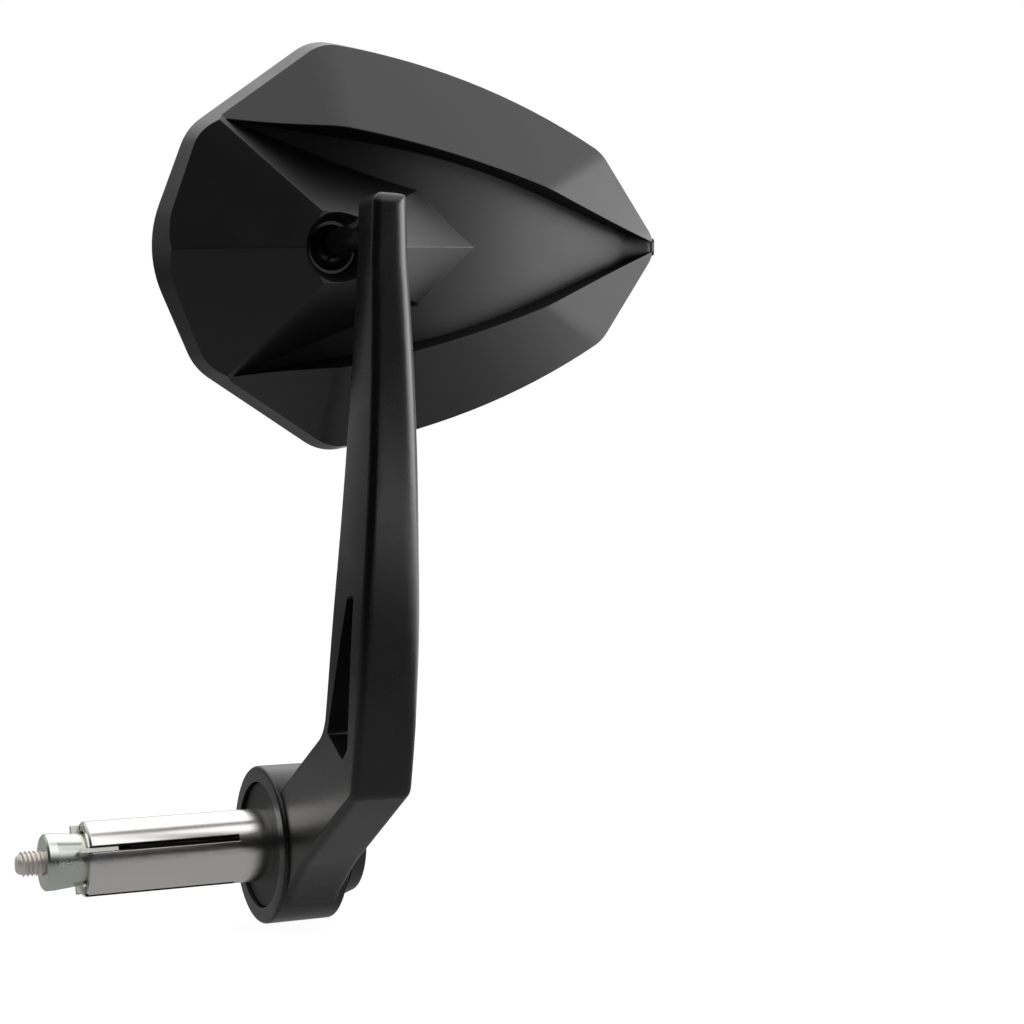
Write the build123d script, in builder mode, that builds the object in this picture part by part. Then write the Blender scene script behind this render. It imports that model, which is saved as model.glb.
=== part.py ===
"""Motorcycle bar end mirror: head on a ball stud, cast arm with an eye, and an expander for the handlebar.

Frame, in millimetres: the origin is on the handlebar's axis, at the inboard face of the arm's eye.
+X points outboard to the end cap, -X into the handlebar, -Y forward and +Z up.
"""
import os
from math import cos, radians, sin, sqrt

from build123d import *

os.makedirs("parts", exist_ok=True)

# Fits
running = 0.05  # radial clearance of a turning fit
loose = 0.3  # clearance of a loose fit

# Expander sleeve that grips inside the handlebar
sleeve_radius = 8.9
sleeve_wall = 2.6
sleeve_reach = 44.0
sleeve_root = 7.0  # solid length behind the eye's face
sleeve_edge = 0.5
slit_width = 1.7
slit_count = 4
slit_root = 7.6  # where the slits end, behind the eye's face
slit_turn = 156.0  # first slit, counted from +Y towards +Z

# Cone nut that spreads the sleeve
cone_overhang = 9.4  # how far it stands out of the sleeve
cone_rim_radius = 6.7
cone_rim_length = 2.5
cone_tip_radius = 5.0
cone_length = 20.0
key_radius = 8.2
key_depth = 4.1
key_length = 9.0
key_start = 2.2  # where the keys start, outside the sleeve's mouth

# Clamp bolt, M6 with a low socket head
bolt_radius = 3.0
bolt_overhang = 6.1  # beyond the cone
bolt_tip_chamfer = 0.7
head_radius = 5.0
head_height = 4.0
hex_key = 5.0
hex_depth = 2.5

# Eye of the arm, its flanged bush and the stack outside it
eye_radius = 19.4
eye_length = 16.5
eye_inner_edge = 0.8
eye_outer_edge = 2.8
bush_radius = 12.0
flange_radius = 15.2
flange_thickness = 2.0
flange_sink = 1.0  # flange lies this far below the eye's face
cap_washer_radius = 15.3
cap_washer_thickness = 2.4
cap_washer_edge = 0.5
lock_washer_radius = 5.6
lock_washer_thickness = 1.2
lock_washer_gap = 1.0

# End cap, turned
cap_back_radius = 14.6
cap_front_radius = 13.2
cap_side_length = 4.6
cap_dome = 2.3
cap_floor = 1.2
cap_bore_radius = 6.0
cap_edge = 0.6
cap_back_chamfer = 0.5

# Arm: side view in y and z, widths over x
arm_mid = eye_length / 2
elbow_rear_y = -41.4
elbow_rear_z = 32.6
elbow_front_y = -60.0
elbow_front_z = 19.4
neck_rear_y = -55.2  # flat at the top that takes the stud
neck_front_y = -66.0
neck_z = 137.4
arm_top_z = 153.0
rear_bow = 2.3
front_bow = 4.6
elbow_rear_round = 9.0
elbow_front_round = 4.0
top_round = 3.0
root_y = -9.0  # inner line starts inside the eye
root_z = 13.8
throat_y = -31.0  # underside bends here into the eye
throat_z = 0.9
throat_foot_y = -15.0
throat_foot_z = -12.6
arm_width = 14.6
arm_top_width = 8.6
taper_z = 58.0  # the width tapers above this height
taper_blend = 600.0
arm_edge = 1.8
edge_pick = 20.0  # arm edges taller than this are rounded

# Slot through the arm
slot_foot = (-53.9, 27.3)
slot_rear_foot = (-44.6, 32.3)
slot_rear_top = (-56.4, 63.6)
slot_front_top = (-60.3, 64.6)
slot_front_foot = (-57.0, 30.0)
slot_round = 1.0

# Ball stud, M5 into the arm
ball_y = -24.0
ball_z = 145.8
ball_centre = Vector(arm_mid, ball_y, ball_z)
ball_radius = 7.0
neck_radius = 3.3
stud_radius = 2.5
stud_depth = 7.0

# Mirror head: its own frame has u along the head, v across it and w from the glass to the back
head_tilt = 6.5
head_roll = 3.85
ball_height = 20.0  # ball centre above the rim
head_normal = Vector(0, -cos(radians(head_tilt)), -sin(radians(head_tilt)))
head_across = Vector(0, -sin(radians(head_tilt)), cos(radians(head_tilt)))
head_along = Vector(1, 0, 0) * cos(radians(head_roll)) + head_across * sin(radians(head_roll))
rim = Plane(origin=ball_centre - head_normal * ball_height, x_dir=head_along, z_dir=head_normal)

# Rim outline, upper half from tip to blunt end; the lower half is its mirror image
rim_tip = 102.4
rim_shoulder = (84.2, 25.7)
rim_peak = (5.0, 51.0)
rim_corner = (-27.0, 28.8)
rim_end = -38.8
rim_bow = 4.5
rim_rounds = (28.0, 14.0, 13.0, 13.0, 9.0)  # end, corner, peak, shoulder, tip
least_round = 0.5  # of an outline that is drawn in
side_height = 7.0
side_draft = 1.4

# Crown that the cheeks lean towards
crown_height = 32.0
crown_tip = 44.0
crown_shoulder = (40.0, 5.5)
crown_peak = (3.0, 19.0)
crown_corner = (-5.0, 15.0)
crown_end = -9.0
crown_bow = 0.8
crown_rounds = (2.0, 4.0, 7.0, 3.0, 0.8)

# Hollow between the cheeks: crest line in plan, floor line in side view
crest_start = (-22.0, 31.0)
crest_foot_middle = (28.0, 18.5)
crest_top_middle = (32.0, 25.0)
crest_tip = (101.0, 0.6)
hollow_reach = 70.0
floor_line = [(-50.0, 1.0), (-6.0, 11.5), (32.0, 17.4), (70.0, 11.5), (108.0, 2.0)]

# Boss around the ball: ridges at the rim plane and at the top
boss_height = 30.0
boss_foot = [(82.0, 0.0), (51.4, 23.4), (-28.9, 39.6), (-47.5, 0.0)]
boss_top = [(9.4, 0.0), (6.4, 6.8), (-4.2, 8.6), (-8.9, 0.0)]

# Ball socket: liner shells float between ball and housing
liner_wall = 1.15
liner_split = 0.4
liner_front_height = 4.4  # above the ball's centre
socket_mouth = 6.2  # radius of the opening that holds the ball in
socket_flare = 8.35  # radius of the opening at the boss's top
socket_shelf = 3.0  # below the ball's centre
flare_over = 2.0  # the flare's cut goes this far past the boss's top

# Shell walls, glass and tape
lip_wall = 1.8
ledge_width = 4.6
shell_wall = 2.8
cavity_top = 14.0
cavity_lean = 10.0
pocket_reach = 8.0
glass_curve = 1200.0
glass_thickness = 2.4
glass_proud = 0.6
glass_middle = 34.0
tape_thickness = 0.8
tape_width = 3.8

# Ball clamp behind the liners
cup_radius = 10.6
cup_floor = 2.2
cup_shelf_gap = 0.3
spring_height = 2.7
spring_thickness = 0.9
spring_inner = 4.0
spring_outer = 9.0
plate_thickness = 1.5
plate_lobe = 4.0
plate_hole = 3.0
screw_circle = 15.2
screw_count = 3
screw_turn = 30.0
screw_radius = 1.5
screw_length = 9.0
screw_head_radius = 2.8
screw_head_height = 1.6
screw_boss_radius = 3.4
screw_boss_height = 10.0

# Lock nut of the ball stud, M5
nut_across_flats = 8.0
nut_height = 3.2
nut_chamfer = 0.4

# Places worked out from the sizes above
bush_face = flange_sink
bush_shelf = flange_sink + flange_thickness
sleeve_bore = sleeve_radius - sleeve_wall
cone_face = -(sleeve_reach + cone_overhang)
bolt_tip = cone_face - bolt_overhang
cap_back = eye_length + cap_washer_thickness
cap_rim = cap_back + cap_side_length
cap_front = cap_rim + cap_dome
cap_seat = cap_back + cap_floor
head_seat = cap_seat + lock_washer_thickness
bolt_hole = bolt_radius + loose
liner_outer = ball_radius + running + liner_wall
socket_radius = liner_outer + running
mouth_height = ball_height + sqrt(socket_radius**2 - socket_mouth**2)
flare_slope = (socket_flare - socket_mouth) / (boss_height - mouth_height)
cup_base = ball_height - socket_radius - cup_floor
cup_top = ball_height - socket_shelf - cup_shelf_gap
plate_top = cup_base - spring_height
plate_base = plate_top - plate_thickness
tape_curve = glass_curve - glass_thickness
pocket_curve = tape_curve - tape_thickness
glass_centre = rim.from_local_coords(Vector(glass_middle, 0, glass_curve - glass_proud))
side_plane = Plane(rim.origin, x_dir=rim.x_dir, z_dir=-rim.y_dir)
stud_seat = Plane(origin=(arm_mid, neck_rear_y, ball_centre.Z), x_dir=(1, 0, 0), z_dir=(0, 1, 0))
arm_reach = front_bow - neck_front_y + arm_edge


def outline(end, corner, peak, shoulder, tip, bow, rounds, inset=0.0):
    """Closed head outline, mirrored about its long axis, with rounded corners and drawn in by inset."""
    with BuildSketch() as sketch:
        with BuildLine():
            Line((end, 0), corner)
            Line(corner, peak)
            SagittaArc(peak, shoulder, bow)
            Line(shoulder, (tip, 0))
            mirror(about=Plane.XZ)
        make_face()
        if inset:
            offset(amount=-inset, kind=Kind.INTERSECTION, mode=Mode.REPLACE)
        corners = [[vertex.center() for vertex in group] for group in sketch.vertices().group_by(Axis.X)]
        for places, radius in zip(corners, rounds):
            picked = [sketch.vertices().sort_by_distance(place)[0] for place in places]
            fillet(picked, max(radius - inset, least_round))
    return sketch.sketch


def rim_outline(inset=0.0):
    """Rim of the head, drawn in by inset."""
    return outline(rim_end, rim_corner, rim_peak, rim_shoulder, rim_tip, rim_bow, rim_rounds, inset)


# Expander sleeve: a tube with blunt slits, closed at the root
with BuildPart() as expander_sleeve:
    with BuildSketch(Plane.YZ.offset(bush_face)):
        Circle(sleeve_radius)
    extrude(amount=-(sleeve_reach + bush_face))
    with BuildSketch(Plane.YZ.offset(-sleeve_reach)):
        Circle(sleeve_bore)
    extrude(amount=sleeve_reach - sleeve_root, mode=Mode.SUBTRACT)
    mouth = expander_sleeve.edges().filter_by(GeomType.CIRCLE).group_by(Axis.X)[0]
    chamfer(mouth, sleeve_edge)
    with BuildSketch(Plane.YZ.offset(bush_face)):
        Circle(bolt_hole)
    extrude(amount=-(bush_face + sleeve_root), mode=Mode.SUBTRACT)
    with BuildSketch(Plane.YZ.offset(-sleeve_reach)):
        with PolarLocations(sleeve_radius, slit_count, start_angle=slit_turn):
            Rectangle(2 * (sleeve_wall + loose), slit_width)
    extrude(amount=sleeve_reach - slit_root, mode=Mode.SUBTRACT)

# Cone nut: rim, taper and keys that ride in the slits
with BuildPart() as cone_nut:
    with BuildSketch(Plane.XY):
        with BuildLine():
            Polyline(
                (cone_face, 0),
                (cone_face, cone_rim_radius - sleeve_edge),
                (cone_face + sleeve_edge, cone_rim_radius),
                (cone_face + cone_rim_length, cone_rim_radius),
                (cone_face + cone_length, cone_tip_radius),
                (cone_face + cone_length, 0),
                close=True,
            )
        make_face()
    revolve(axis=Axis.X)
    with BuildSketch(Plane.YZ.offset(-(sleeve_reach + key_start))):
        with PolarLocations(key_radius - key_depth / 2, slit_count, start_angle=slit_turn):
            Rectangle(key_depth, slit_width - 2 * loose)
    extrude(amount=key_length)
    with BuildSketch(Plane.YZ.offset(cone_face)):
        Circle(bolt_radius + running)
    extrude(amount=cone_length, mode=Mode.SUBTRACT)

# Clamp bolt: shank through the whole stack, socket head in the cap
with BuildPart() as clamp_bolt:
    with BuildSketch(Plane.YZ.offset(bolt_tip)):
        Circle(bolt_radius)
    extrude(amount=head_seat - bolt_tip)
    chamfer(clamp_bolt.edges().group_by(Axis.X)[0], bolt_tip_chamfer)
    with BuildSketch(Plane.YZ.offset(head_seat)):
        Circle(head_radius)
    extrude(amount=head_height)
    chamfer(clamp_bolt.edges().group_by(Axis.X)[-1], sleeve_edge)
    with BuildSketch(Plane.YZ.offset(head_seat + head_height)):
        RegularPolygon(hex_key / 2, 6, major_radius=False)
    extrude(amount=-hex_depth, mode=Mode.SUBTRACT)

# Split lock washer under the bolt's head
with BuildPart() as lock_washer:
    with BuildSketch(Plane.YZ.offset(cap_seat)):
        Circle(lock_washer_radius)
        Circle(bolt_hole, mode=Mode.SUBTRACT)
        with Locations((0, lock_washer_radius / 2 + bolt_hole / 2)):
            Rectangle(lock_washer_gap, lock_washer_radius, mode=Mode.SUBTRACT)
    extrude(amount=lock_washer_thickness)

# Flanged bush that the arm's eye turns on
with BuildPart() as eye_bush:
    with BuildSketch(Plane.YZ.offset(bush_face)):
        Circle(flange_radius)
    extrude(amount=flange_thickness)
    with BuildSketch(Plane.YZ.offset(bush_shelf)):
        Circle(bush_radius)
    extrude(amount=eye_length - bush_shelf)
    with BuildSketch(Plane.YZ.offset(bush_face)):
        Circle(bolt_hole)
    extrude(amount=eye_length - bush_face, mode=Mode.SUBTRACT)

# Thrust washer between eye and cap
with BuildPart() as cap_washer:
    with BuildSketch(Plane.YZ.offset(eye_length)):
        Circle(cap_washer_radius)
        Circle(bolt_hole, mode=Mode.SUBTRACT)
    extrude(amount=cap_washer_thickness)
    outer = cap_washer.edges().filter_by(GeomType.CIRCLE).sort_by(SortBy.RADIUS)[-2:]
    fillet(outer, cap_washer_edge)

# End cap: tapered side, shallow cone in front, counterbore for the bolt's head
with BuildPart() as end_cap:
    with BuildSketch(Plane.XY):
        with BuildLine():
            Polyline(
                (cap_back, bolt_hole),
                (cap_back, cap_back_radius - cap_back_chamfer),
                (cap_back + cap_back_chamfer, cap_back_radius),
                (cap_rim, cap_front_radius),
                (cap_front, cap_bore_radius + cap_edge),
                (cap_front - cap_edge, cap_bore_radius),
                (cap_seat, cap_bore_radius),
                (cap_seat, bolt_hole),
                close=True,
            )
        make_face()
    revolve(axis=Axis.X)
    fillet(end_cap.edges().filter_by(GeomType.CIRCLE).sort_by(SortBy.RADIUS)[-3:-2], cap_edge)

# Arm: side view cut to its widths in front view, then the eye, slot and stud hole
with BuildPart() as arm:
    with BuildSketch(Plane.YZ) as side_view:
        with BuildLine():
            Line((root_y, root_z), (elbow_rear_y, elbow_rear_z))
            SagittaArc((elbow_rear_y, elbow_rear_z), (neck_rear_y, neck_z), rear_bow)
            Polyline(
                (neck_rear_y, neck_z),
                (neck_rear_y, arm_top_z),
                (neck_front_y, arm_top_z),
                (neck_front_y, neck_z),
            )
            SagittaArc((neck_front_y, neck_z), (elbow_front_y, elbow_front_z), -front_bow)
            Line((elbow_front_y, elbow_front_z), (throat_y, throat_z))
            TangentArc(
                (throat_y, throat_z),
                (throat_foot_y, throat_foot_z),
                tangent=(throat_y - elbow_front_y, throat_z - elbow_front_z),
            )
            Line((throat_foot_y, throat_foot_z), (root_y, root_z))
        make_face()
        for corner, radius in (
            ((elbow_rear_y, elbow_rear_z), elbow_rear_round),
            ((elbow_front_y, elbow_front_z), elbow_front_round),
            ((neck_rear_y, arm_top_z), top_round / 2),
            ((neck_front_y, arm_top_z), top_round),
        ):
            fillet(side_view.vertices().sort_by_distance(corner)[0], radius)
    extrude(amount=eye_length)
    with BuildSketch(Plane.XZ) as front_view:
        with BuildLine():
            Polyline(
                (arm_mid - arm_top_width / 2, arm_top_z),
                (arm_mid + arm_top_width / 2, arm_top_z),
                (arm_mid + arm_width / 2, taper_z),
                (arm_mid + arm_width / 2, -eye_radius),
                (arm_mid - arm_width / 2, -eye_radius),
                (arm_mid - arm_width / 2, taper_z),
                close=True,
            )
        make_face()
        fillet(front_view.vertices().group_by(Axis.Y)[1], taper_blend)
    extrude(amount=arm_reach, mode=Mode.INTERSECT)
    long_edges = arm.edges().filter_by(lambda edge: edge.bounding_box().size.Z > edge_pick)
    fillet(long_edges, arm_edge)
    with BuildSketch(Plane.XY) as eye_section:
        Rectangle(eye_length, eye_radius, align=(Align.MIN, Align.MIN))
        inner_corner, outer_corner = eye_section.vertices().group_by(Axis.Y)[-1].sort_by(Axis.X)
        fillet(inner_corner, eye_inner_edge)
        fillet(outer_corner, eye_outer_edge)
    revolve(axis=Axis.X)
    with BuildSketch(Plane.YZ):
        Circle(bush_radius + running)
    extrude(amount=eye_length, mode=Mode.SUBTRACT)
    with BuildSketch(Plane.YZ):
        Circle(flange_radius + loose)
    extrude(amount=bush_shelf, mode=Mode.SUBTRACT)
    with BuildSketch(Plane.YZ) as slot:
        with BuildLine():
            Polyline(slot_foot, slot_rear_foot, slot_rear_top, slot_front_top, slot_front_foot, close=True)
        make_face()
        fillet(slot.vertices(), slot_round)
    extrude(amount=eye_length, mode=Mode.SUBTRACT)
    with BuildSketch(stud_seat):
        Circle(stud_radius + running)
    extrude(amount=-(stud_depth + loose), mode=Mode.SUBTRACT)

# Ball stud: ball, neck and shank in the arm's hole
with BuildPart() as ball_stud:
    with BuildSketch(stud_seat.offset(-stud_depth)):
        Circle(stud_radius)
    extrude(amount=stud_depth + nut_height)
    with BuildSketch(stud_seat.offset(nut_height)):
        Circle(neck_radius)
    extrude(amount=ball_centre.Y - neck_rear_y - nut_height)
    with Locations(ball_centre):
        Sphere(ball_radius)

# Lock nut that holds the stud against the arm
with BuildPart() as stud_lock_nut:
    with BuildSketch(stud_seat):
        RegularPolygon(nut_across_flats / 2, 6, major_radius=False)
        Circle(stud_radius + running, mode=Mode.SUBTRACT)
    extrude(amount=nut_height)
    with BuildSketch(stud_seat):
        Circle(nut_across_flats / 2 + nut_chamfer)
    extrude(amount=nut_height, mode=Mode.INTERSECT)

# Hollow between the cheeks, as a cutting shape: crest lines above, open at the blunt end
with BuildPart() as hollow:
    for height, middle in ((0, crest_foot_middle), (crown_height, crest_top_middle)):
        with BuildSketch(rim.offset(height)):
            with BuildLine():
                ThreePointArc(crest_tip, middle, crest_start)
                Polyline(crest_start, (-hollow_reach, crest_start[1]), (-hollow_reach, 0))
                Line(crest_tip, (crest_tip[0], 0))
                mirror(about=Plane.XZ)
            make_face()
    loft(ruled=True)


def below_floor(drop):
    """Side view of everything below the floor line, lowered by drop."""
    with BuildSketch(Plane(rim.offset(-drop).origin, x_dir=side_plane.x_dir, z_dir=side_plane.z_dir)) as view:
        with BuildLine():
            Spline(*floor_line)
            Polyline(
                floor_line[-1],
                (floor_line[-1][0], -crown_height),
                (floor_line[0][0], -crown_height),
                floor_line[0],
            )
        make_face()
    return view.sketch


# Floor of the hollow: the hollow filled up to its floor line
with BuildPart() as hollow_floor:
    add(hollow.part)
    extrude(below_floor(0), amount=hollow_reach, both=True, mode=Mode.INTERSECT)

# Boss: six ridges that run from the rim plane up to the ball's opening
with BuildPart() as boss:
    for height, ridges in ((0, boss_foot), (boss_height, boss_top)):
        with BuildSketch(rim.offset(height)):
            with BuildLine():
                Polyline(*ridges)
                mirror(about=Plane.XZ)
            make_face()
    loft(ruled=True)

# Side wall with its draft, to trim the floor and the boss
with BuildPart() as side_wall:
    for height in (0, crown_height):
        with BuildSketch(rim.offset(height)):
            add(rim_outline(side_draft * height / side_height))
    loft(ruled=True)

# Cheeks: drafted side, then faces that lean in to the crown, less the hollow
with BuildPart() as cheeks:
    with BuildSketch(rim):
        add(rim_outline())
    with BuildSketch(rim.offset(side_height)):
        add(rim_outline(side_draft))
    with BuildSketch(rim.offset(crown_height)):
        add(outline(crown_end, crown_corner, crown_peak, crown_shoulder, crown_tip, crown_bow, crown_rounds))
    loft(ruled=True)
    add(hollow.part, mode=Mode.SUBTRACT)

# Pocket for tape and glass, with a floor that follows the glass
with BuildPart() as glass_pocket:
    with BuildSketch(rim.offset(-pocket_reach)):
        add(rim_outline(lip_wall))
    extrude(amount=2 * pocket_reach)
    with Locations(glass_centre):
        Sphere(pocket_curve, mode=Mode.SUBTRACT)

# Cavity behind the glass, under the floor of the hollow
with BuildPart() as cavity:
    for height, lean in ((0, 0), (cavity_top, cavity_lean)):
        with BuildSketch(rim.offset(height)):
            add(rim_outline(lip_wall + ledge_width + lean))
    loft(ruled=True)
    extrude(below_floor(shell_wall), amount=hollow_reach, both=True, mode=Mode.INTERSECT)

# Housing: one moulding of cheeks, floor and boss, hollowed out for the glass and the ball clamp
with BuildPart() as mirror_housing:
    add(hollow_floor.part)
    add(boss.part)
    add(side_wall.part, mode=Mode.INTERSECT)
    add(cheeks.part)
    add(glass_pocket.part, mode=Mode.SUBTRACT)
    add(cavity.part, mode=Mode.SUBTRACT)
    with BuildSketch(rim.offset(plate_top)):
        with PolarLocations(screw_circle, screw_count, start_angle=screw_turn):
            Circle(screw_boss_radius)
    extrude(amount=screw_boss_height)
    with BuildSketch(rim):
        with PolarLocations(screw_circle, screw_count, start_angle=screw_turn):
            Circle(plate_lobe + loose)
        make_hull()
    extrude(amount=plate_top, mode=Mode.SUBTRACT)
    with BuildSketch(rim):
        with PolarLocations(screw_circle, screw_count, start_angle=screw_turn):
            Circle(screw_radius + running)
    extrude(amount=plate_base + screw_length + loose, mode=Mode.SUBTRACT)
    with BuildSketch(rim):
        Circle(cup_radius + loose)
    extrude(amount=ball_height - socket_shelf, mode=Mode.SUBTRACT)
    with Locations(ball_centre):
        Sphere(socket_radius, mode=Mode.SUBTRACT)
    with BuildSketch(side_plane):
        with BuildLine():
            Polyline(
                (0, ball_height),
                (socket_mouth, ball_height),
                (socket_mouth, mouth_height),
                (socket_flare + flare_slope * flare_over, boss_height + flare_over),
                (0, boss_height + flare_over),
                close=True,
            )
        make_face()
    revolve(axis=Axis(rim.origin, rim.z_dir), mode=Mode.SUBTRACT)

# Glass: a thin spherical shell cut to the rim's outline
with BuildPart() as mirror_glass:
    with BuildSketch(rim.offset(-pocket_reach)):
        add(rim_outline(lip_wall + loose))
    extrude(amount=2 * pocket_reach)
    with Locations(glass_centre):
        Sphere(glass_curve, mode=Mode.INTERSECT)
        Sphere(tape_curve, mode=Mode.SUBTRACT)

# Adhesive foam tape between the glass and the housing's ledge
with BuildPart() as glass_tape:
    with BuildSketch(rim.offset(-pocket_reach)):
        add(rim_outline(lip_wall + loose))
        add(rim_outline(lip_wall + loose + tape_width), mode=Mode.SUBTRACT)
    extrude(amount=2 * pocket_reach)
    with Locations(glass_centre):
        Sphere(tape_curve, mode=Mode.INTERSECT)
        Sphere(pocket_curve, mode=Mode.SUBTRACT)


def liner_shell(base, height):
    """Spherical shell around the ball between two heights above the rim plane."""
    with BuildPart() as shell:
        with Locations(ball_centre):
            Sphere(liner_outer)
            Sphere(ball_radius + running, mode=Mode.SUBTRACT)
        with BuildSketch(rim.offset(base)):
            Circle(2 * liner_outer)
        extrude(amount=height, mode=Mode.INTERSECT)
    return shell


# Liner shells in front of and behind the ball
ball_liner_front = liner_shell(ball_height + liner_split / 2, liner_front_height)
ball_liner_rear = liner_shell(ball_height - 2 * liner_outer, 2 * liner_outer - liner_split / 2)

# Pressure cup behind the rear liner
with BuildPart() as ball_cup:
    with BuildSketch(rim.offset(cup_base)):
        Circle(cup_radius)
    extrude(amount=cup_top - cup_base)
    with Locations(ball_centre):
        Sphere(socket_radius, mode=Mode.SUBTRACT)

# Disc spring between plate and cup
with BuildPart() as disc_spring:
    with BuildSketch(side_plane):
        with BuildLine():
            Polyline(
                (spring_inner, cup_base - spring_thickness),
                (spring_inner, cup_base),
                (spring_outer, plate_top + spring_thickness),
                (spring_outer, plate_top),
                close=True,
            )
        make_face()
    revolve(axis=Axis(rim.origin, rim.z_dir))

# Clamp plate with three lobes
with BuildPart() as clamp_plate:
    with BuildSketch(rim.offset(plate_base)):
        with PolarLocations(screw_circle, screw_count, start_angle=screw_turn):
            Circle(plate_lobe)
        make_hull()
        Circle(plate_hole, mode=Mode.SUBTRACT)
        with PolarLocations(screw_circle, screw_count, start_angle=screw_turn):
            Circle(screw_radius + running, mode=Mode.SUBTRACT)
    extrude(amount=plate_thickness)

# Screws of the clamp plate, one node
with BuildPart() as clamp_screws:
    with BuildSketch(rim.offset(plate_base)):
        with PolarLocations(screw_circle, screw_count, start_angle=screw_turn):
            Circle(screw_radius)
    extrude(amount=screw_length)
    with BuildSketch(rim.offset(plate_base)):
        with PolarLocations(screw_circle, screw_count, start_angle=screw_turn):
            Circle(screw_head_radius)
    extrude(amount=-screw_head_height)

for label, piece in (
    ("expander_sleeve", expander_sleeve),
    ("cone_nut", cone_nut),
    ("clamp_bolt", clamp_bolt),
    ("lock_washer", lock_washer),
    ("eye_bush", eye_bush),
    ("cap_washer", cap_washer),
    ("end_cap", end_cap),
    ("arm", arm),
    ("ball_stud", ball_stud),
    ("stud_lock_nut", stud_lock_nut),
    ("ball_liner_front", ball_liner_front),
    ("ball_liner_rear", ball_liner_rear),
    ("ball_cup", ball_cup),
    ("disc_spring", disc_spring),
    ("clamp_plate", clamp_plate),
    ("clamp_screws", clamp_screws),
    ("mirror_housing", mirror_housing),
    ("mirror_glass", mirror_glass),
    ("glass_tape", glass_tape),
):
    piece.part.label = label
    export_step(piece.part, f"parts/{label}.step")
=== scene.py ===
from math import cos, radians, sin

import bpy
from bpy.props import FloatProperty, FloatVectorProperty, IntProperty, PointerProperty
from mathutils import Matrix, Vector


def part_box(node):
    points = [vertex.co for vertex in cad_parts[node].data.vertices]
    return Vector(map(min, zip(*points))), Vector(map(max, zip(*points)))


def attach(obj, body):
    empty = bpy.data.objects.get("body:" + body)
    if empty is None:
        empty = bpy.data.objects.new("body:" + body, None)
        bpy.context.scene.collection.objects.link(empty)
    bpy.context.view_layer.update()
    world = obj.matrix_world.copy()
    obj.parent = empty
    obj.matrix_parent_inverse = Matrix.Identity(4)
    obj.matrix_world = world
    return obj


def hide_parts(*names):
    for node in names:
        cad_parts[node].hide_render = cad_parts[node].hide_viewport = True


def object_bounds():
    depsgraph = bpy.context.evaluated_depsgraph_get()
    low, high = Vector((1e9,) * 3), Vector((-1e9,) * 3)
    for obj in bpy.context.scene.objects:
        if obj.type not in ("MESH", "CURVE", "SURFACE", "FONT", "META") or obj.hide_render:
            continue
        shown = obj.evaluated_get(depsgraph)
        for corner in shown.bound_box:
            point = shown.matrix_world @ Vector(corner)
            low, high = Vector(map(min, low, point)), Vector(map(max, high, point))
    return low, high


bl_info = {
    "name": "Bar End Mirror",
    "version": (1, 0, 0),
    "blender": (4, 5, 0),
    "location": "View3D > Sidebar > Bar End Mirror",
    "description": "Dresses a motorcycle bar end mirror and sets it in a white studio",
    "category": "Object",
}

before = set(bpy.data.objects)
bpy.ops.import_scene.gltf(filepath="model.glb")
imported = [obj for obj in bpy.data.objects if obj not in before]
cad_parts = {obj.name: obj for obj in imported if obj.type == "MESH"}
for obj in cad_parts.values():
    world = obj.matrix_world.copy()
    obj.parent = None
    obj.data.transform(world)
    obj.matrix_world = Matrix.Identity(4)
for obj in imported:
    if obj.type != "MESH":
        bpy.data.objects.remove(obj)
cad_box = [list(corner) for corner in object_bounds()]

# Where the pieces lie that are copied here
bolt_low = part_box("clamp_bolt")[0]
cone_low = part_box("cone_nut")[0]
bolt_radius = 0.003
arm_low, arm_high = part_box("arm")

# How the head stands on the arm
head_tilt = radians(6.5)
head_roll = radians(3.85)

# Angles below which faces are shaded as one: on round pieces and between the head's ridges
round_angle = radians(35)
ridge_angle = radians(10)

# Points nearer than this are one point
merge_gap = 0.000002
same_place = 0.00001

# Cuts that let the arm be rounded: across its width, and down from its top
width_cuts = 12
width_step = 0.00125
top_cuts = (0.0002, 0.0005, 0.0010, 0.0016, 0.0023, 0.0030)
side_depth = 0.004  # how far behind its front the arm's side is measured

# Faces of the sleeve that point less than this outward and along are in its bore or a slit, and get painted
# shade
bore_limit = 0.3

# Surfaces: size of the clouds, spread of the tone, and painted shade, a gloss that fades in corners and
# creases
cloud_scale = 90.0
tone_spread = 0.15
shade_occlusion_band = (0.45, 0.90)
shade_gloss_range = (0.04, 0.5)

# Where the world glows: a direction, and the cosines between which the glow grows
glow_above = ((0.30, 0.15, 0.94), 0.25, 0.75)
glow_behind = ((0, 1, 0), 0.0, 0.9)
glow_right = ((0.95, -0.30, 0.0), 0.86, 0.97)
lamp_place = (0.15, 0.1, 1.1)
lamp_width = 1.2
lamp_height = 1.0

# The floor: its size, what the camera sees of it, and the bands of its painted glow, which only reflections
# see
floor_size = 30.0
floor_white = 1.05
floor_plain = 0.92  # share of its look that light and shadow don't reach
floor_ahead = (0.35, 1.0, 0.0)
ahead_band = (-0.32, -0.12)
reach_band = (0.35, 0.65)
right_band = (0.18, 0.45)
far_share = 0.25
right_share = 1 / 3


def colour(name, description, default):
    """A colour that the user can change."""
    return FloatVectorProperty(
        name=name, description=description, default=default, size=3, min=0.0, max=1.0, subtype="COLOR"
    )


def length(name, description, default):
    """A length in metres that the user can change."""
    return FloatProperty(
        name=name, description=description, default=default, min=0.0, unit="LENGTH", precision=5
    )


def brightness(name, description, default):
    """A brightness that the user can change."""
    return FloatProperty(name=name, description=description, default=default, min=0.0)


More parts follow.
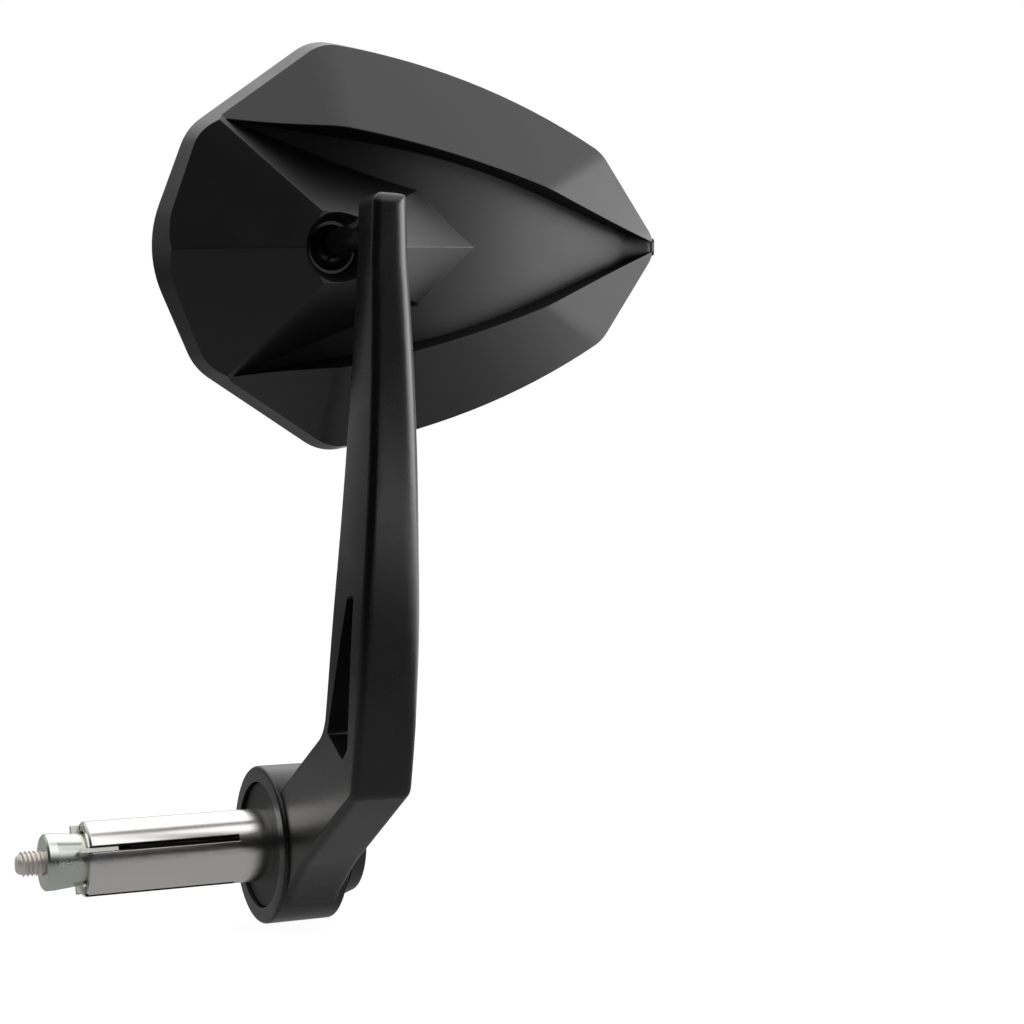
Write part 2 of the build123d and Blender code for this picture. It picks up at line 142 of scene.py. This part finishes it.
class MirrorFinish(bpy.types.PropertyGroup):
    """Colours of the mirror's finishes."""

    housing: colour("Housing", "Matt moulded plastic of the head", (0.0040, 0.0040, 0.0040))
    arm: colour("Arm", "Satin coat of the cast arm", (0.0025, 0.0025, 0.0025))
    cap: colour("Cap", "Anodised end cap and washers", (0.0040, 0.0040, 0.0040))
    bush: colour("Bush", "Moulded bush in the eye", (0.0040, 0.0040, 0.0040))
    ball: colour("Ball", "Blackened ball stud", (0.0030, 0.0030, 0.0030))
    liner: colour("Liner", "Slippery plastic around the ball", (0.0030, 0.0030, 0.0030))
    chrome: colour("Chrome", "Plated expander sleeve", (0.86, 0.84, 0.82))
    # Painted shade: this near-black colour on the bore and slit faces stands in for the shade inside the
    # sleeve
    bore_shade: colour("Bore", "Greased inside of the sleeve", (0.010, 0.010, 0.009))
    zinc: colour("Zinc", "Plated cone nut", (0.70, 0.73, 0.66))
    bolt: colour("Bolt", "Bare steel of the bolt", (0.60, 0.55, 0.51))
    glass: colour("Glass", "Silvered mirror glass", (0.90, 0.92, 0.93))
    foam: colour("Foam", "Adhesive foam tape", (0.02, 0.02, 0.02))


class MirrorSizes(bpy.types.PropertyGroup):
    """Sizes of the details that are modelled here."""

    tip_reach: length("Tip reach", "Length of the floor that is lifted at the head's tip", 0.0025)
    tip_width: length("Tip width", "Width of the floor that is lifted at the head's tip", 0.0052)
    tip_floor: length("Tip floor", "Least height of the floor at the head's tip", 0.0038)
    tip_edge: length("Tip edge", "Greatest height of the floor at the head's tip", 0.0047)
    tip_lift: length("Tip lift", "How far the floor is lifted at the head's tip", 0.0027)
    corner_round: length("Corner round", "Radius of the corners at the arm's top", 0.0030)
    round_start: length("Round start", "Height where the arm's round edge starts to grow", 0.036)
    round_end: length("Round end", "Height where the arm's round edge is full", 0.085)
    round_top: length("Round top", "Height below the arm's rounded top", 0.148)
    round_low: length("Round low", "Radius of the arm's round edge at its start", 0.0022)
    round_high: length("Round high", "Radius of the arm's round edge where it is full", 0.0040)
    thread_pitch: length("Thread pitch", "Advance of the bolt's thread in one turn", 0.001)
    thread_depth: length("Thread depth", "Depth of the bolt's thread", 0.0006)
    thread_steps: IntProperty(
        name="Thread steps", description="Faces in one turn of the thread", default=48, min=12
    )
    thread_cover: length("Thread cover", "How far the thread runs into the cone nut", 0.005)
    thread_lead: length("Thread lead", "Plain length at the bolt's tip", 0.0009)


class StudioSettings(bpy.types.PropertyGroup):
    """Camera, floor and lights."""

    camera_place: FloatVectorProperty(
        name="Camera place", description="Where the camera stands", default=(-0.15079, -0.43907, 0.08265),
        size=3, subtype="TRANSLATION", unit="LENGTH",
    )
    camera_turn: FloatProperty(
        name="Camera turn", description="Heading of the level camera", default=radians(-26.75),
        subtype="ANGLE",
    )
    camera_lens: FloatProperty(name="Lens", description="Focal length in millimetres", default=65.04, min=1.0)
    floor_gap: length("Floor gap", "How far the floor lies below the part", 0.0005)
    top_light: FloatProperty(
        name="Top light", description="Power of the light above", default=10.0, min=0.0, unit="POWER"
    )
    top_glow: brightness("Top glow", "Brightness above the part", 1.45)
    back_glow: brightness("Back glow", "Brightness behind the part", 0.32)
    side_glow: brightness("Side glow", "Brightness of the panel at the right", 6.5)
    front_glow: brightness("Front glow", "Brightness in front of the part", 0.02)
    floor_glow: brightness("Floor glow", "Brightness of the floor near the part", 0.34)


def ramp(nodes, links, value, band, low, high):
    """Eases a value from low to high across a band."""
    step = nodes.new("ShaderNodeMapRange")
    step.interpolation_type = "SMOOTHSTEP"
    step.inputs["From Min"].default_value = band[0]
    step.inputs["From Max"].default_value = band[1]
    step.inputs["To Min"].default_value = low
    step.inputs["To Max"].default_value = high
    links.new(value, step.inputs["Value"])
    return step.outputs["Result"]


def facing(nodes, links, vector, direction):
    """How far a vector goes in a direction."""
    dot = nodes.new("ShaderNodeVectorMath")
    dot.operation = "DOT_PRODUCT"
    dot.inputs[1].default_value = direction
    links.new(vector, dot.inputs[0])
    return dot.outputs["Value"]


def combine(nodes, links, operation, first, second):
    """One number from two."""
    node = nodes.new("ShaderNodeMath")
    node.operation = operation
    links.new(first, node.inputs[0])
    links.new(second, node.inputs[1])
    return node.outputs["Value"]


def finish(
    name, tint, metallic=0.0, rough=0.4, rough_spread=0.05, grain=4000.0, depth=0.000004,
    stretch=(1, 1, 1), edge=0.0002, shade=0.0,
):
    """Procedural surface with soft edges, a fine grain, cloudy roughness and tone, and painted shade that dims
    the gloss in corners.
    """
    material = bpy.data.materials.new(name)
    material.use_nodes = True
    nodes = material.node_tree.nodes
    links = material.node_tree.links
    shader = nodes["Principled BSDF"]
    shader.inputs["Metallic"].default_value = metallic
    coordinates = nodes.new("ShaderNodeTexCoord")
    mapping = nodes.new("ShaderNodeMapping")
    mapping.inputs["Scale"].default_value = stretch
    links.new(coordinates.outputs["Object"], mapping.inputs["Vector"])
    fine = nodes.new("ShaderNodeTexNoise")
    fine.inputs["Scale"].default_value = grain
    fine.inputs["Detail"].default_value = 3.0
    links.new(mapping.outputs["Vector"], fine.inputs["Vector"])
    cloud = nodes.new("ShaderNodeTexNoise")
    cloud.inputs["Scale"].default_value = cloud_scale
    cloud.inputs["Detail"].default_value = 5.0
    links.new(mapping.outputs["Vector"], cloud.inputs["Vector"])
    roughness = nodes.new("ShaderNodeMapRange")
    roughness.inputs["To Min"].default_value = max(rough - rough_spread, 0.02)
    roughness.inputs["To Max"].default_value = rough + rough_spread
    links.new(cloud.outputs["Fac"], roughness.inputs["Value"])
    links.new(roughness.outputs["Result"], shader.inputs["Roughness"])
    tone = nodes.new("ShaderNodeMix")
    tone.data_type = "RGBA"
    tone.inputs["A"].default_value = [channel * (1 - tone_spread) for channel in tint] + [1]
    tone.inputs["B"].default_value = [min(channel * (1 + tone_spread), 1) for channel in tint] + [1]
    links.new(cloud.outputs["Fac"], tone.inputs["Factor"])
    links.new(tone.outputs["Result"], shader.inputs["Base Color"])
    soft_edge = nodes.new("ShaderNodeBevel")
    soft_edge.samples = 6
    soft_edge.inputs["Radius"].default_value = edge
    bump = nodes.new("ShaderNodeBump")
    bump.inputs["Strength"].default_value = 0.5
    bump.inputs["Distance"].default_value = depth
    links.new(soft_edge.outputs["Normal"], bump.inputs["Normal"])
    links.new(fine.outputs["Fac"], bump.inputs["Height"])
    links.new(bump.outputs["Normal"], shader.inputs["Normal"])
    # Painted shade: where the surface is hemmed in, ambient occlusion dims its gloss, so corners and creases
    # look darker
    if shade:
        corner = nodes.new("ShaderNodeAmbientOcclusion")
        corner.samples = 8
        corner.only_local = True
        corner.inputs["Distance"].default_value = shade
        gloss = nodes.new("ShaderNodeMapRange")
        gloss.inputs["From Min"].default_value = shade_occlusion_band[0]
        gloss.inputs["From Max"].default_value = shade_occlusion_band[1]
        gloss.inputs["To Min"].default_value = shade_gloss_range[0]
        gloss.inputs["To Max"].default_value = shade_gloss_range[1]
        links.new(corner.outputs["AO"], gloss.inputs["Value"])
        links.new(gloss.outputs["Result"], shader.inputs["Specular IOR Level"])
    return material


def dress(names, material):
    """Gives CAD nodes a material."""
    for name in names:
        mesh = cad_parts[name].data
        mesh.materials.clear()
        mesh.materials.append(material)


def deselect():
    """Leaves nothing selected."""
    bpy.ops.object.select_all(action="DESELECT")


def make_active(piece):
    """Selects one piece alone."""
    deselect()
    piece.select_set(True)
    bpy.context.view_layer.objects.active = piece


def merged_copy(name, piece_name, angle=round_angle):
    """A copy of a CAD node with its triangles merged, to be changed and to stand for the node."""
    piece = bpy.data.objects.new(piece_name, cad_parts[name].data.copy())
    bpy.context.scene.collection.objects.link(piece)
    piece.data.materials.clear()
    make_active(piece)
    bpy.ops.object.mode_set(mode="EDIT")
    bpy.ops.mesh.select_all(action="SELECT")
    bpy.ops.mesh.customdata_custom_splitnormals_clear()
    bpy.ops.mesh.remove_doubles(threshold=merge_gap)
    bpy.ops.object.mode_set(mode="OBJECT")
    bpy.ops.object.shade_smooth_by_angle(angle=angle)
    return piece


class MIRROR_OT_head(bpy.types.Operator):
    """Close the tip of the moulded head, and dress the head, its glass and its tape"""

    bl_idname = "mirror.head"
    bl_label = "Mirror Head"

    def execute(self, context):
        tints = context.scene.mirror_finish
        # The housing gets painted shade in its creases and hollows, through the shade reach of finish()
        housing = finish(
            "housing_plastic", tints.housing, rough=0.38, grain=5200.0, depth=0.000006,
            edge=0.0004, shade=0.016,
        )
        head = merged_copy("mirror_housing", "moulded_head", ridge_angle)
        self.close_tip(head, context.scene.mirror_sizes)
        head.data.materials.append(housing)
        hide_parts("mirror_housing")
        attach(head, "head")
        glass = finish(
            "mirror_glass", tints.glass, metallic=1.0, rough=0.03, rough_spread=0.01,
            grain=400.0, depth=0.0000002,
        )
        dress(["mirror_glass"], glass)
        dress(["glass_tape"], finish("foam_tape", tints.foam, rough=0.9, grain=3000.0, depth=0.00004))
        return {"FINISHED"}

    def close_tip(self, head, sizes):
        """Lifts the end of the hollow's floor to the cheeks, so that they meet in one point."""
        outward = Vector((0, -cos(head_tilt), -sin(head_tilt)))
        across = Vector((0, -sin(head_tilt), cos(head_tilt)))
        along = Vector((cos(head_roll), 0, 0)) + across * sin(head_roll)
        tip = max((vertex.co.copy() for vertex in head.data.vertices), key=along.dot)
        moved = 0
        for vertex in head.data.vertices:
            place = vertex.co - tip
            aside = along.cross(outward).dot(place)
            height = outward.dot(place)
            near = -along.dot(place) < sizes.tip_reach and abs(aside) < sizes.tip_width / 2
            if near and sizes.tip_floor < height < sizes.tip_edge:
                vertex.co += outward * sizes.tip_lift
                moved += 1
        if not moved:
            raise RuntimeError("the hollow has no floor at its tip")


class MIRROR_OT_ball_joint(bpy.types.Operator):
    """Dress the ball stud and the clamp behind it"""

    bl_idname = "mirror.ball_joint"
    bl_label = "Ball Joint"

    def execute(self, context):
        tints = context.scene.mirror_finish
        ball = finish("ball_steel", tints.ball, rough=0.14, rough_spread=0.04, grain=1500.0, depth=0.000001)
        dress(["ball_stud"], ball)
        dress(["stud_lock_nut"], finish("black_steel", tints.ball, rough=0.25, grain=2500.0, depth=0.000003))
        dress(["ball_liner_front", "ball_liner_rear"], finish("liner_plastic", tints.liner, rough=0.35))
        dress(["ball_cup"], finish("cup_plastic", tints.bush, rough=0.45))
        dress(["disc_spring"], finish("spring_steel", tints.bolt, metallic=1.0, rough=0.3))
        dress(["clamp_plate", "clamp_screws"], finish("plate_steel", tints.zinc, metallic=1.0, rough=0.32))
        return {"FINISHED"}


class MIRROR_OT_arm(bpy.types.Operator):
    """Round the cast arm's outboard front edge and its top corners, and dress it"""

    bl_idname = "mirror.arm"
    bl_label = "Arm"

    def execute(self, context):
        tints = context.scene.mirror_finish
        sizes = context.scene.mirror_sizes
        arm = merged_copy("arm", "cast_arm")
        self.divide(arm)
        self.round_front(arm, sizes)
        self.round_top(arm, sizes)
        make_active(arm)
        bpy.ops.object.shade_smooth_by_angle(angle=round_angle)
        coat = finish("black_coated", tints.arm, rough=0.28, rough_spread=0.04, grain=3200.0, depth=0.000006)
        arm.data.materials.append(coat)
        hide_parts("arm")
        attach(arm, "arm")
        return {"FINISHED"}

    def divide(self, arm):
        """Cuts the arm's faces, so that its front and its top can be rounded."""
        bpy.ops.object.mode_set(mode="EDIT")
        for step in range(1, width_cuts + 1):
            bpy.ops.mesh.select_all(action="SELECT")
            bpy.ops.mesh.bisect(plane_co=(arm_low.x + step * width_step, 0, 0), plane_no=(1, 0, 0))
        for drop in top_cuts:
            bpy.ops.mesh.select_all(action="SELECT")
            bpy.ops.mesh.bisect(plane_co=(0, 0, arm_high.z - drop), plane_no=(0, 0, 1))
        bpy.ops.object.mode_set(mode="OBJECT")

    def round_front(self, arm, sizes):
        """Moves the points outside a round of growing radius onto it."""
        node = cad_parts["arm"]
        middle = (arm_low.x + arm_high.x) / 2
        for vertex in arm.data.vertices:
            height = vertex.co.z
            rise = (height - sizes.round_start) / (sizes.round_end - sizes.round_start)
            if rise <= 0:
                continue
            rise = min(rise, 1.0)
            radius = sizes.round_low + (sizes.round_high - sizes.round_low) * rise * rise * (3 - 2 * rise)
            level = min(height, sizes.round_top)
            hit, front, normal, index = node.ray_cast((middle, -1, level), (0, 1, 0))
            if not hit:
                raise RuntimeError("the arm has no front at this height")
            hit, side, normal, index = node.ray_cast((1, front.y + side_depth, level), (-1, 0, 0))
            if not hit:
                raise RuntimeError("the arm has no side at this height")
            inward = Vector((side.x - radius - vertex.co.x, front.y + radius - vertex.co.y))
            if inward.x < 0 and inward.y > 0 and inward.length > radius:
                inward *= radius / inward.length
                vertex.co.x = side.x - radius - inward.x
                vertex.co.y = front.y + radius - inward.y

    def round_top(self, arm, sizes):
        """Rounds the two corners of the arm's top."""
        radius = sizes.corner_round
        top = arm_high.z
        crown = [vertex.co.x for vertex in arm.data.vertices if vertex.co.z > top - radius]
        left, right = min(crown) + radius, max(crown) - radius
        for vertex in arm.data.vertices:
            level = vertex.co.z - (top - radius)
            aside = vertex.co.x - min(max(vertex.co.x, left), right)
            reach = Vector((aside, level))
            if level > 0 and aside and reach.length > radius:
                reach *= radius / reach.length
                vertex.co.x = (left if aside < 0 else right) + reach.x
                vertex.co.z = top - radius + reach.y


class MIRROR_OT_eye_stack(bpy.types.Operator):
    """Dress the bush, washers and cap of the eye"""

    bl_idname = "mirror.eye_stack"
    bl_label = "Eye Stack"

    def execute(self, context):
        tints = context.scene.mirror_finish
        dress(["eye_bush"], finish("black_nylon", tints.bush, rough=0.5))
        anodised = finish("black_anodised", tints.cap, rough=0.33, grain=2500.0, depth=0.000003)
        dress(["cap_washer", "end_cap"], anodised)
        dress(["lock_washer"], finish("washer_steel", tints.bolt, metallic=1.0, rough=0.3))
        return {"FINISHED"}


class MIRROR_OT_expander(bpy.types.Operator):
    """Dress the expander sleeve, with painted shade in its bore and slits, and its cone nut"""

    bl_idname = "mirror.expander"
    bl_label = "Expander"

    def execute(self, context):
        tints = context.scene.mirror_finish
        chrome = finish(
            "sleeve_steel", tints.chrome, metallic=1.0, rough=0.24, rough_spread=0.05,
            grain=2500.0, depth=0.000001, stretch=(0.03, 1, 1),
        )
        sleeve = merged_copy("expander_sleeve", "slit_sleeve")
        sleeve.data.materials.append(chrome)
        # Painted shade on the faces of the bore and slits, in place of the shade inside the sleeve
        sleeve.data.materials.append(finish("sleeve_bore_shade", tints.bore_shade, rough=0.5))
        for face in sleeve.data.polygons:
            radial = Vector((0, face.center.y, face.center.z)).normalized()
            outward = face.normal.dot(radial)
            if outward < bore_limit and abs(face.normal.x) < bore_limit:
                face.material_index = 1
        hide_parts("expander_sleeve")
        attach(sleeve, "insert")
        zinc = finish(
            "zinc_steel", tints.zinc, metallic=1.0, rough=0.26, rough_spread=0.08,
            grain=2500.0, depth=0.000004,
        )
        dress(["cone_nut"], zinc)
        return {"FINISHED"}


class MIRROR_OT_bolt(bpy.types.Operator):
    """Model the bolt with its thread"""

    bl_idname = "mirror.bolt"
    bl_label = "Threaded Bolt"

    def execute(self, context):
        sizes = context.scene.mirror_sizes
        radius = bolt_radius
        end = cone_low.x + sizes.thread_cover
        bolt = merged_copy("clamp_bolt", "threaded_bolt")
        bpy.ops.object.mode_set(mode="EDIT")
        bpy.ops.mesh.select_all(action="SELECT")
        bpy.ops.mesh.bisect(plane_co=(end, 0, 0), plane_no=(1, 0, 0))
        bpy.ops.mesh.select_all(action="DESELECT")
        bpy.ops.object.mode_set(mode="OBJECT")
        for vertex in bolt.data.vertices:
            vertex.select = vertex.co.x < end - same_place
        root = (radius - sizes.thread_depth) / radius
        bpy.ops.object.mode_set(mode="EDIT")
        bpy.ops.transform.resize(value=(1, root, root), center_override=(0, 0, 0))
        bpy.ops.object.mode_set(mode="OBJECT")
        thread = self.make_thread(sizes, radius, end)
        steel = finish(
            "bolt_steel", context.scene.mirror_finish.bolt, metallic=0.6, rough=0.4, rough_spread=0.08,
            grain=3000.0, depth=0.000004, edge=0.0001,
        )
        make_active(bolt)
        thread.select_set(True)
        bpy.ops.object.join()
        bolt.data.materials.clear()
        bolt.data.materials.append(steel)
        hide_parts("clamp_bolt")
        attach(bolt, "bolt")
        return {"FINISHED"}

    def make_thread(self, sizes, radius, end):
        """A helical ridge from the bolt's tip into the cone nut."""
        start = bolt_low.x + sizes.thread_lead
        deselect()
        bpy.ops.mesh.primitive_circle_add(vertices=3, radius=1.0)
        thread = bpy.context.object
        bpy.ops.object.mode_set(mode="EDIT")
        bpy.ops.transform.resize(
            value=(0.5 * sizes.thread_pitch, sizes.thread_depth, 1), center_override=(0, 0, 0)
        )
        bpy.ops.transform.translate(value=(start, radius - sizes.thread_depth, 0))
        bpy.ops.object.mode_set(mode="OBJECT")
        bpy.ops.object.modifier_add(type="SCREW")
        screw = thread.modifiers[-1]
        screw.axis = "X"
        screw.screw_offset = sizes.thread_pitch
        screw.steps = sizes.thread_steps
        screw.render_steps = sizes.thread_steps
        screw.iterations = int((end - start) / sizes.thread_pitch)
        bpy.ops.object.modifier_apply(modifier=screw.name)
        bpy.ops.object.mode_set(mode="EDIT")
        bpy.ops.mesh.select_all(action="SELECT")
        bpy.ops.mesh.fill_holes(sides=3)
        bpy.ops.mesh.select_all(action="SELECT")
        bpy.ops.mesh.normals_make_consistent(inside=False)
        bpy.ops.object.mode_set(mode="OBJECT")
        bpy.ops.object.shade_smooth_by_angle(angle=round_angle)
        return thread


def soft_light(name, place, target, width, height, power):
    """A rectangular soft light that faces a point."""
    bpy.ops.object.light_add(type="AREA", location=place)
    lamp = bpy.context.object
    lamp.name = name
    lamp.data.shape = "RECTANGLE"
    lamp.data.size = width
    lamp.data.size_y = height
    lamp.data.energy = power
    lamp.rotation_euler = (Vector(target) - Vector(place)).to_track_quat("-Z", "Y").to_euler()
    return lamp


class MIRROR_OT_studio(bpy.types.Operator):
    """Set the white studio: world, floor, lights and camera"""

    bl_idname = "mirror.studio"
    bl_label = "Studio"

    def execute(self, context):
        studio = context.scene.mirror_studio
        context.scene.view_settings.view_transform = "Standard"
        self.make_world(context)
        self.make_floor(studio)
        low, high = (Vector(corner) for corner in cad_box)
        middle = (low + high) / 2
        lamp = soft_light("top_light", lamp_place, middle, lamp_width, lamp_height, studio.top_light)
        lamp.visible_glossy = False
        bpy.ops.object.camera_add(location=studio.camera_place, rotation=(radians(90), 0, studio.camera_turn))
        camera = context.object
        camera.data.lens = studio.camera_lens
        camera.data.sensor_width = 36.0
        camera.data.clip_start = 0.01
        context.scene.camera = camera
        return {"FINISHED"}

    def make_world(self, context):
        """White to the camera; for the part bright above, soft behind, a panel at the right, dark in front."""
        studio = context.scene.mirror_studio
        world = bpy.data.worlds.new("studio_world")
        context.scene.world = world
        world.use_nodes = True
        nodes = world.node_tree.nodes
        links = world.node_tree.links
        background = nodes["Background"]
        background.inputs["Color"].default_value = (1, 1, 1, 1)
        coordinates = nodes.new("ShaderNodeTexCoord")
        glows = []
        for (direction, first, last), low, high in (
            (glow_above, studio.front_glow, studio.top_glow),
            (glow_behind, 0.0, studio.back_glow),
            (glow_right, 0.0, studio.side_glow),
        ):
            cosine = facing(nodes, links, coordinates.outputs["Generated"], direction)
            glows.append(ramp(nodes, links, cosine, (first, last), low, high))
        total = combine(nodes, links, "ADD", glows[0], glows[1])
        total = combine(nodes, links, "ADD", total, glows[2])
        path = nodes.new("ShaderNodeLightPath")
        seen = combine(
            nodes, links, "MAXIMUM", path.outputs["Is Camera Ray"], path.outputs["Is Transmission Ray"]
        )
        strength = nodes.new("ShaderNodeMix")
        strength.inputs["B"].default_value = 1.0
        links.new(seen, strength.inputs["Factor"])
        links.new(total, strength.inputs["A"])
        links.new(strength.outputs["Result"], background.inputs["Strength"])

    def make_floor(self, studio):
        """A wide pale floor that stays white in the picture and keeps a soft shadow."""
        deselect()
        bpy.ops.mesh.primitive_plane_add(size=1.0)
        floor = bpy.context.object
        floor.name = "studio_floor"
        bpy.ops.object.mode_set(mode="EDIT")
        bpy.ops.transform.resize(value=(floor_size, floor_size, 1.0))
        bpy.ops.transform.translate(value=(0, 0, cad_box[0][2] - studio.floor_gap))
        bpy.ops.object.mode_set(mode="OBJECT")
        material = bpy.data.materials.new("studio_paper")
        material.use_nodes = True
        nodes = material.node_tree.nodes
        links = material.node_tree.links
        shader = nodes["Principled BSDF"]
        shader.inputs["Base Color"].default_value = (0.8, 0.8, 0.79, 1)
        shader.inputs["Roughness"].default_value = 0.9
        white = nodes.new("ShaderNodeEmission")
        path = nodes.new("ShaderNodeLightPath")
        strength = nodes.new("ShaderNodeMix")
        strength.inputs["B"].default_value = floor_white
        # Painted light: to rays glancing off the part, the floor is only a glow, bright near the part and at
        # the right
        links.new(path.outputs["Is Camera Ray"], strength.inputs["Factor"])
        links.new(self.floor_light(nodes, links, studio), strength.inputs["A"])
        links.new(strength.outputs["Result"], white.inputs["Strength"])
        share = nodes.new("ShaderNodeMath")
        share.operation = "MULTIPLY_ADD"
        share.inputs[1].default_value = floor_plain
        links.new(path.outputs["Is Camera Ray"], share.inputs[0])
        links.new(path.outputs["Is Glossy Ray"], share.inputs[2])
        mix = nodes.new("ShaderNodeMixShader")
        links.new(share.outputs["Value"], mix.inputs["Fac"])
        links.new(shader.outputs["BSDF"], mix.inputs[1])
        links.new(white.outputs["Emission"], mix.inputs[2])
        links.new(mix.outputs["Shader"], nodes["Material Output"].inputs["Surface"])
        floor.data.materials.append(material)

    def floor_light(self, nodes, links, studio):
        """How bright the floor glows in the part's reflections, a painted glow: bright near it and at the
        right, dark in front and far away.
        """
        coordinates = nodes.new("ShaderNodeTexCoord")
        place = coordinates.outputs["Object"]
        ahead = facing(nodes, links, place, floor_ahead)
        near = ramp(nodes, links, ahead, ahead_band, studio.front_glow, studio.floor_glow)
        reach = nodes.new("ShaderNodeVectorMath")
        reach.operation = "LENGTH"
        links.new(place, reach.inputs[0])
        fade = ramp(nodes, links, reach.outputs["Value"], reach_band, 1.0, far_share)
        light = combine(nodes, links, "MULTIPLY", near, fade)
        side = facing(nodes, links, place, (1, 0, 0))
        right = ramp(nodes, links, side, right_band, 0.0, studio.side_glow * right_share)
        return combine(nodes, links, "ADD", light, right)


class MIRROR_PT_panel(bpy.types.Panel):
    """Lists the mirror's operators and settings"""

    bl_idname = "MIRROR_PT_panel"
    bl_label = "Bar End Mirror"
    bl_space_type = "VIEW_3D"
    bl_region_type = "UI"
    bl_category = "Bar End Mirror"

    def draw(self, context):
        for operator in operators:
            self.layout.operator(operator.bl_idname)
        for group in (context.scene.mirror_finish, context.scene.mirror_sizes, context.scene.mirror_studio):
            box = self.layout.box()
            for name in group.__annotations__:
                box.prop(group, name)


operators = (
    MIRROR_OT_head,
    MIRROR_OT_ball_joint,
    MIRROR_OT_arm,
    MIRROR_OT_eye_stack,
    MIRROR_OT_expander,
    MIRROR_OT_bolt,
    MIRROR_OT_studio,
)
classes = (MirrorFinish, MirrorSizes, StudioSettings, *operators, MIRROR_PT_panel)


def register():
    for item in classes:
        bpy.utils.register_class(item)
    bpy.types.Scene.mirror_finish = PointerProperty(type=MirrorFinish)
    bpy.types.Scene.mirror_sizes = PointerProperty(type=MirrorSizes)
    bpy.types.Scene.mirror_studio = PointerProperty(type=StudioSettings)


def unregister():
    del bpy.types.Scene.mirror_studio
    del bpy.types.Scene.mirror_sizes
    del bpy.types.Scene.mirror_finish
    for item in reversed(classes):
        bpy.utils.unregister_class(item)


def main():
    register()
    deselect()
    bpy.ops.mirror.head()
    bpy.ops.mirror.ball_joint()
    bpy.ops.mirror.arm()
    bpy.ops.mirror.eye_stack()
    bpy.ops.mirror.expander()
    bpy.ops.mirror.bolt()
    bpy.ops.mirror.studio()


if __name__ == "__main__":
    main()
